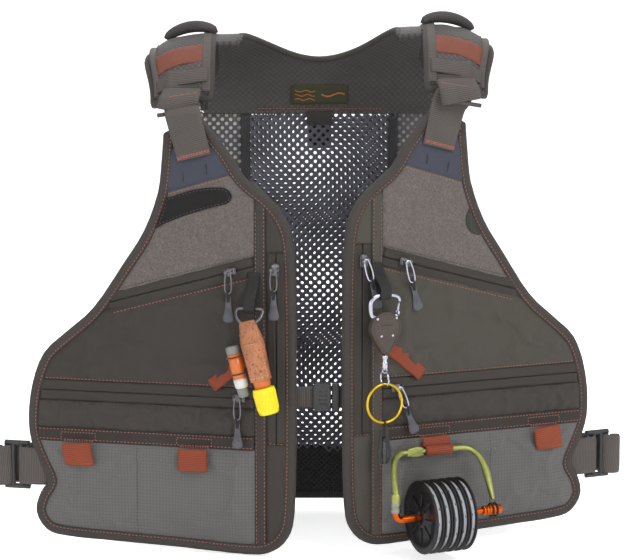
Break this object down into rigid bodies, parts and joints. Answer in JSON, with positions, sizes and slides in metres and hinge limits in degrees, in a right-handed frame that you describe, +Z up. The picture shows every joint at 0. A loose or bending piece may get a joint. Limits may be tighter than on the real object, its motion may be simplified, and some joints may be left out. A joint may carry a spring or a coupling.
{
  "type": "fishing vest",
  "caption": "Padded fishing vest: mesh back, zipped pocket fronts, adjustable shoulders and sides, sternum buckle, with clipped-on retractor, floatant holder and tippet spool holder.",
  "frame": {"origin": "middle of the footprint seen from above, at the height of the lowest hem", "axes": "+X to the right as seen by someone facing the front, +Y from the front panels towards the back, +Z up"},
  "size_m": [0.583, 0.2879, 0.484],
  "materials": {
    "mesh": "knitted mesh with round holes, matt",
    "yoke_cloth": "embossed diagonal weave, matt",
    "lumbar_mesh": "dense black knitted mesh",
    "nylon": "woven olive-grey nylon, slight sheen",
    "binding": "folded woven tape",
    "fleece": "brushed heather loop knit",
    "ripstop": "fine ripstop grid, silver-grey",
    "zip_tape": "woven zip tape with a coated coil",
    "webbing": "ribbed polyester webbing",
    "rust_webbing": "rust ribbed webbing",
    "hook_loop": "hook-and-loop pile",
    "magnet_cloth": "cloth cover over a magnet disc",
    "buckle_plastic": "moulded acetal, satin",
    "gunmetal": "plated zinc, worn at the edges",
    "pull_rubber": "grey moulded rubber",
    "clip_steel": "polished steel wire",
    "retractor_shell": "painted matt brown shell with rivets",
    "ring_yellow": "yellow anodised wire",
    "black_metal": "black oxide steel",
    "lime_anodised": "satin lime anodised",
    "orange_anodised": "gloss orange anodised",
    "spool_plastic": "black moulded plastic with silver-grey bands",
    "leather": "speckled copper leather",
    "bottle_orange": "amber squeeze bottle",
    "cap_yellow": "yellow moulded cap"
  },
  "bodies": {
    "root": {"back_yoke": "yoke_cloth", "back_mesh": "mesh", "lumbar_pocket": "lumbar_mesh", "net_ring": "buckle_plastic", "shoulder_pads": "nylon", "shoulder_buckles": "buckle_plastic", "side_straps": "webbing", "side_buckles": "buckle_plastic"},
    "left_front": {"left_front_shell": "nylon", "left_edge_binding": "binding", "left_fleece_panel": "fleece", "left_chest_pocket": "nylon", "left_waist_pocket": "nylon", "left_hem_pocket": "ripstop", "left_zip_tapes": "zip_tape", "left_tool_tabs": "rust_webbing", "left_shoulder_webbing": "webbing", "hook_loop_patch": "hook_loop", "sternum_socket": "buckle_plastic"},
    "right_front": {"right_front_shell": "nylon", "right_edge_binding": "binding", "right_fleece_panel": "fleece", "right_chest_pocket": "nylon", "right_waist_pocket": "nylon", "right_hem_pocket": "ripstop", "right_zip_tapes": "zip_tape", "right_tool_tabs": "rust_webbing", "right_shoulder_webbing": "webbing", "magnet_patch": "magnet_cloth"},
    "left_chest_slider": {"left_chest_slider": "gunmetal"},
    "left_chest_pull": {"left_chest_pull": "pull_rubber"},
    "left_vertical_slider": {"left_vertical_slider": "gunmetal"},
    "left_vertical_pull": {"left_vertical_pull": "pull_rubber"},
    "left_low_slider": {"left_low_slider": "gunmetal"},
    "left_low_pull": {"left_low_pull": "pull_rubber"},
    "right_chest_slider": {"right_chest_slider": "gunmetal"},
    "right_chest_pull": {"right_chest_pull": "pull_rubber"},
    "right_vertical_slider": {"right_vertical_slider": "gunmetal"},
    "right_vertical_pull": {"right_vertical_pull": "pull_rubber"},
    "right_low_slider": {"right_low_slider": "gunmetal"},
    "right_low_pull": {"right_low_pull": "pull_rubber"},
    "sternum_plug": {"sternum_plug": "buckle_plastic"},
    "retractor": {"retractor_carabiner": "clip_steel", "retractor_case": "retractor_shell"},
    "carabiner_gate": {"carabiner_gate": "clip_steel"},
    "retractor_end": {"retractor_end": "clip_steel"},
    "tool_ring": {"tool_ring": "ring_yellow"},
    "line_nipper": {"line_nipper": "black_metal"},
    "tippet_bow": {"tippet_bow": "lime_anodised"},
    "tippet_rod": {"tippet_rod": "orange_anodised"},
    "tippet_spool_1": {"tippet_spool_1": "spool_plastic"},
    "tippet_spool_2": {"tippet_spool_2": "spool_plastic"},
    "tippet_spool_3": {"tippet_spool_3": "spool_plastic"},
    "tippet_spool_4": {"tippet_spool_4": "spool_plastic"},
    "tippet_spool_5": {"tippet_spool_5": "spool_plastic"},
    "holder_ring": {"holder_ring": "gunmetal"},
    "floatant_holder": {"floatant_holder": "leather", "desiccant_bottle": "bottle_orange"},
    "floatant_bottle": {"floatant_bottle": "bottle_orange"},
    "floatant_cap": {"floatant_cap": "cap_yellow"}
  },
  "joints": [
    {"name": "left_front_swing", "type": "hinge", "parent": "root", "child": "left_front", "pos_m": [-0.25706, -0.03014, 0.072], "axis": [-0.3732, 0.0584, -0.9259], "range_deg": [0, 40]},
    {"name": "right_front_swing", "type": "hinge", "parent": "root", "child": "right_front", "pos_m": [0.25934, 0.0154, 0.072], "axis": [-0.3233, -0.1758, 0.9298], "range_deg": [0, 40]},
    {"name": "left_chest_zip", "type": "slide", "parent": "left_front", "child": "left_chest_slider", "axis": [-0.9364, 0.2335, -0.2622], "range_m": [0, 0.1]},
    {"name": "left_chest_pull_swing", "type": "hinge", "parent": "left_chest_slider", "child": "left_chest_pull", "pos_m": [-0.07411, -0.08997, 0.26445], "axis": [-0.9703, 0.2419, 0], "range_deg": [0, 90]},
    {"name": "left_vertical_zip", "type": "slide", "parent": "left_front", "child": "left_vertical_slider", "axis": [0, 0, -1], "range_m": [0, 0.145]},
    {"name": "left_vertical_pull_swing", "type": "hinge", "parent": "left_vertical_slider", "child": "left_vertical_pull", "pos_m": [-0.03238, -0.10038, 0.268], "axis": [-0.9703, 0.2419, 0], "range_deg": [0, 90]},
    {"name": "left_low_zip", "type": "slide", "parent": "left_front", "child": "left_low_slider", "axis": [-0.9703, 0.2419, 0], "range_m": [0, 0.15]},
    {"name": "left_low_pull_swing", "type": "hinge", "parent": "left_low_slider", "child": "left_low_pull", "pos_m": [-0.06634, -0.09191, 0.147], "axis": [-0.9703, 0.2419, 0], "range_deg": [0, 90]},
    {"name": "right_chest_zip", "type": "slide", "parent": "right_front", "child": "right_chest_slider", "axis": [0.8746, 0.4078, -0.2622], "range_m": [0, 0.1]},
    {"name": "right_chest_pull_swing", "type": "hinge", "parent": "right_chest_slider", "child": "right_chest_pull", "pos_m": [0.09116, -0.07825, 0.27245], "axis": [-0.8794, -0.4101, -0.2419], "range_deg": [0, 90]},
    {"name": "right_vertical_zip", "type": "slide", "parent": "right_front", "child": "right_vertical_slider", "axis": [0, 0, -1], "range_m": [0, 0.145]},
    {"name": "right_vertical_pull_swing", "type": "hinge", "parent": "right_vertical_slider", "child": "right_vertical_pull", "pos_m": [0.05219, -0.09642, 0.276], "axis": [-0.8712, -0.4062, 0.2756], "range_deg": [0, 90]},
    {"name": "right_low_zip", "type": "slide", "parent": "right_front", "child": "right_low_slider", "axis": [0.9063, 0.4226, 0], "range_m": [0, 0.15]},
    {"name": "right_low_pull_swing", "type": "hinge", "parent": "right_low_slider", "child": "right_low_pull", "pos_m": [0.08391, -0.08163, 0.155], "axis": [-0.8461, -0.3945, -0.3584], "range_deg": [0, 90]},
    {"name": "sternum_release", "type": "slide", "parent": "left_front", "child": "sternum_plug", "axis": [1, 0, 0], "range_m": [0, 0.02]},
    {"name": "retractor_swing", "type": "hinge", "parent": "right_front", "child": "retractor", "pos_m": [0.06919, -0.09975, 0.245], "axis": [-0.9063, -0.4226, 0], "range_deg": [0, 60]},
    {"name": "carabiner_gate_open", "type": "hinge", "parent": "retractor", "child": "carabiner_gate", "pos_m": [0.08097, -0.09426, 0.2296], "axis": [-0.4226, 0.9063, 0], "range_deg": [0, 25]},
    {"name": "retractor_pull_out", "type": "slide", "parent": "retractor", "child": "retractor_end", "axis": [0.4226, -0.9063, 0], "range_m": [0, 0.3], "stiffness_N_per_m": 1, "springref_m": -0.3},
    {"name": "tool_ring_swing", "type": "hinge", "parent": "retractor_end", "child": "tool_ring", "pos_m": [0.06919, -0.09975, 0.1632], "axis": [-0.9063, -0.4226, 0], "range_deg": [0, 60]},
    {"name": "line_nipper_swing", "type": "hinge", "parent": "tool_ring", "child": "line_nipper", "pos_m": [0.06919, -0.09975, 0.1272], "axis": [-0.9063, -0.4226, 0], "range_deg": [0, 60]},
    {"name": "tippet_bow_swing", "type": "hinge", "parent": "right_front", "child": "tippet_bow", "pos_m": [0.12044, -0.06769, 0.095], "axis": [-0.9063, -0.4226, 0], "range_deg": [0, 60]},
    {"name": "tippet_rod_swing", "type": "hinge", "parent": "tippet_bow", "child": "tippet_rod", "pos_m": [0.07927, -0.12374, 0.041], "axis": [0, 0, -1], "range_deg": [0, 110]},
    {"name": "tippet_spool_1_spin", "type": "hinge", "parent": "tippet_rod", "child": "tippet_spool_1", "pos_m": [0.10193, -0.11317, 0.041], "axis": [0.9063, 0.4226, 0], "continuous": true},
    {"name": "tippet_spool_2_spin", "type": "hinge", "parent": "tippet_rod", "child": "tippet_spool_2", "pos_m": [0.10972, -0.10954, 0.041], "axis": [0.9063, 0.4226, 0], "continuous": true},
    {"name": "tippet_spool_3_spin", "type": "hinge", "parent": "tippet_rod", "child": "tippet_spool_3", "pos_m": [0.11752, -0.1059, 0.041], "axis": [0.9063, 0.4226, 0], "continuous": true},
    {"name": "tippet_spool_4_spin", "type": "hinge", "parent": "tippet_rod", "child": "tippet_spool_4", "pos_m": [0.12531, -0.10227, 0.041], "axis": [0.9063, 0.4226, 0], "continuous": true},
    {"name": "tippet_spool_5_spin", "type": "hinge", "parent": "tippet_rod", "child": "tippet_spool_5", "pos_m": [0.13311, -0.09863, 0.041], "axis": [0.9063, 0.4226, 0], "continuous": true},
    {"name": "holder_ring_swing", "type": "hinge", "parent": "left_front", "child": "holder_ring", "pos_m": [-0.05426, -0.10131, 0.233], "axis": [-0.9703, 0.2419, 0], "range_deg": [0, 60]},
    {"name": "floatant_holder_swing", "type": "hinge", "parent": "holder_ring", "child": "floatant_holder", "pos_m": [-0.05668, -0.11102, 0.2205], "axis": [-0.9703, 0.2419, 0], "range_deg": [0, 30]},
    {"name": "floatant_bottle_slide", "type": "slide", "parent": "floatant_holder", "child": "floatant_bottle", "axis": [0.2347, -0.0585, -0.9703], "range_m": [0, 0.045], "stiffness_N_per_m": 20, "springref_m": -0.02},
    {"name": "floatant_cap_turn", "type": "hinge", "parent": "floatant_bottle", "child": "floatant_cap", "pos_m": [-0.05474, -0.1115, 0.216], "axis": [0.2347, -0.0585, -0.9703], "range_deg": [0, 270]}
  ]
}
